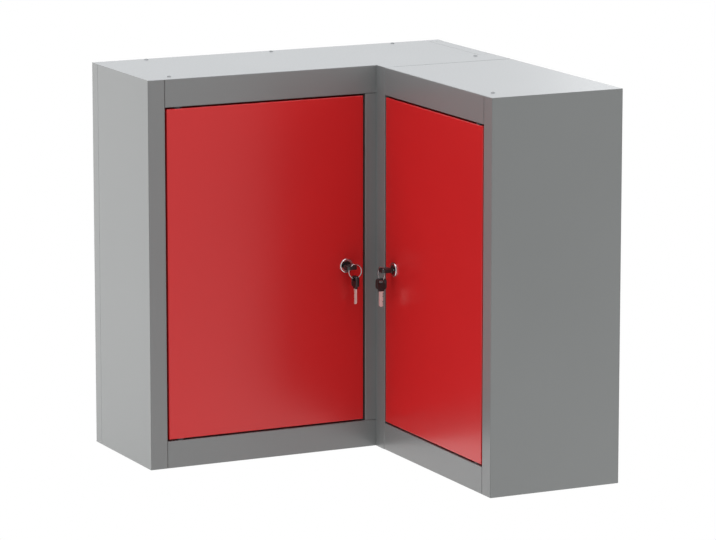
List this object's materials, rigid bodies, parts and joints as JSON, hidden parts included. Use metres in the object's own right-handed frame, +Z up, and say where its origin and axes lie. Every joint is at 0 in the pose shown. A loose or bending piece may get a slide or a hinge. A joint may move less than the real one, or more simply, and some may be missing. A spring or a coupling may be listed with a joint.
{
  "type": "corner wall cabinet",
  "caption": "L-shaped corner wall cabinet of folded sheet steel with inset hinged doors, shelves, wall-fixing holes, and cam locks with keys and spare keys on rings.",
  "frame": {"origin": "under the middle of the 600 mm square that the two arms span, on the plane of the base", "axes": "+Z up, +Y towards the rear wall behind the left arm, +X towards the side wall behind the right arm"},
  "size_m": [0.6, 0.6, 0.6016],
  "materials": {
    "grey_paint": "satin powder coat",
    "red_paint": "satin powder coat",
    "chrome": "polished",
    "steel": "zinc plated",
    "black_plastic": "moulded",
    "nylon": "moulded",
    "rubber": "moulded"
  },
  "bodies": {
    "carcass": {"left_end_panel": "grey_paint", "right_end_panel": "grey_paint", "top_panel_left": "grey_paint", "top_panel_right": "grey_paint", "bottom_panel_left": "grey_paint", "bottom_panel_right": "grey_paint", "back_panel_left": "grey_paint", "corner_wall_panel": "grey_paint", "back_panel_right": "grey_paint", "corner_post": "grey_paint", "top_gusset": "grey_paint", "wall_rail_left": "grey_paint", "wall_rail_right": "grey_paint", "module_bolts": "steel", "module_nuts": "steel", "shelf_left": "grey_paint", "shelf_right": "grey_paint", "shelf_clips_left": "grey_paint", "shelf_clips_right": "grey_paint", "top_rivets": "steel", "bottom_rivets": "steel", "left_hinge_brackets": "steel", "right_hinge_brackets": "steel", "left_hinge_pins": "steel", "right_hinge_pins": "steel"},
    "left_door": {"left_door_panel": "red_paint", "left_door_stiffener": "red_paint", "left_door_bumpers": "rubber", "left_hinge_bushes": "nylon", "left_lock_housing": "chrome", "left_lock_nut": "steel"},
    "left_lock": {"left_lock_plug": "black_plastic", "left_lock_cam": "steel", "left_cam_screw": "steel"},
    "left_key": {"left_key_blade": "steel", "left_key_bow": "black_plastic"},
    "left_ring": {"left_key_ring": "chrome"},
    "left_spare_key": {"left_spare_key_blade": "steel", "left_spare_key_bow": "black_plastic"},
    "right_door": {"right_door_panel": "red_paint", "right_door_stiffener": "red_paint", "right_door_bumpers": "rubber", "right_hinge_bushes": "nylon", "right_lock_housing": "chrome", "right_lock_nut": "steel"},
    "right_lock": {"right_lock_plug": "black_plastic", "right_lock_cam": "steel", "right_cam_screw": "steel"},
    "right_key": {"right_key_blade": "steel", "right_key_bow": "black_plastic"},
    "right_ring": {"right_key_ring": "chrome"},
    "right_spare_key": {"right_spare_key_blade": "steel", "right_spare_key_bow": "black_plastic"}
  },
  "joints": [
    {"name": "left_door_swing", "type": "hinge", "parent": "carcass", "child": "left_door", "pos_m": [-0.2495, 0.09, 0.3], "axis": [0, 0, -1], "range_deg": [0, 120]},
    {"name": "left_lock_turn", "type": "hinge", "parent": "left_door", "child": "left_lock", "pos_m": [0.0303, 0.082, 0.2905], "axis": [0, 1, 0], "range_deg": [0, 90]},
    {"name": "left_key_pull", "type": "slide", "parent": "left_lock", "child": "left_key", "axis": [0, -1, 0], "range_m": [0, 0.024]},
    {"name": "left_ring_hang", "type": "hinge", "parent": "left_key", "child": "left_ring", "pos_m": [0.0303, 0.082, 0.2905], "axis": [0, 1, 0], "range_deg": [-90, 0]},
    {"name": "left_spare_key_swing", "type": "hinge", "parent": "left_ring", "child": "left_spare_key", "pos_m": [0.0368, 0.063, 0.27325], "axis": [-1, 0, 0], "range_deg": [-15, 45]},
    {"name": "right_door_swing", "type": "hinge", "parent": "carcass", "child": "right_door", "pos_m": [0.09, -0.2505, 0.3], "axis": [0, 0, 1], "range_deg": [0, 120]},
    {"name": "right_lock_turn", "type": "hinge", "parent": "right_door", "child": "right_lock", "pos_m": [0.082, 0.02, 0.2905], "axis": [-1, 0, 0], "range_deg": [0, 90]},
    {"name": "right_key_pull", "type": "slide", "parent": "right_lock", "child": "right_key", "axis": [-1, 0, 0], "range_m": [0, 0.024]},
    {"name": "right_ring_hang", "type": "hinge", "parent": "right_key", "child": "right_ring", "pos_m": [0.082, 0.02, 0.2905], "axis": [-1, 0, 0], "range_deg": [-90, 0]},
    {"name": "right_spare_key_swing", "type": "hinge", "parent": "right_ring", "child": "right_spare_key", "pos_m": [0.063, 0.0265, 0.27325], "axis": [0, 1, 0], "range_deg": [-15, 45]}
  ],
  "couplings": [
    {"joint": "left_ring_hang", "follows": "left_lock_turn", "ratio": -1},
    {"joint": "right_ring_hang", "follows": "right_lock_turn", "ratio": -1}
  ]
}
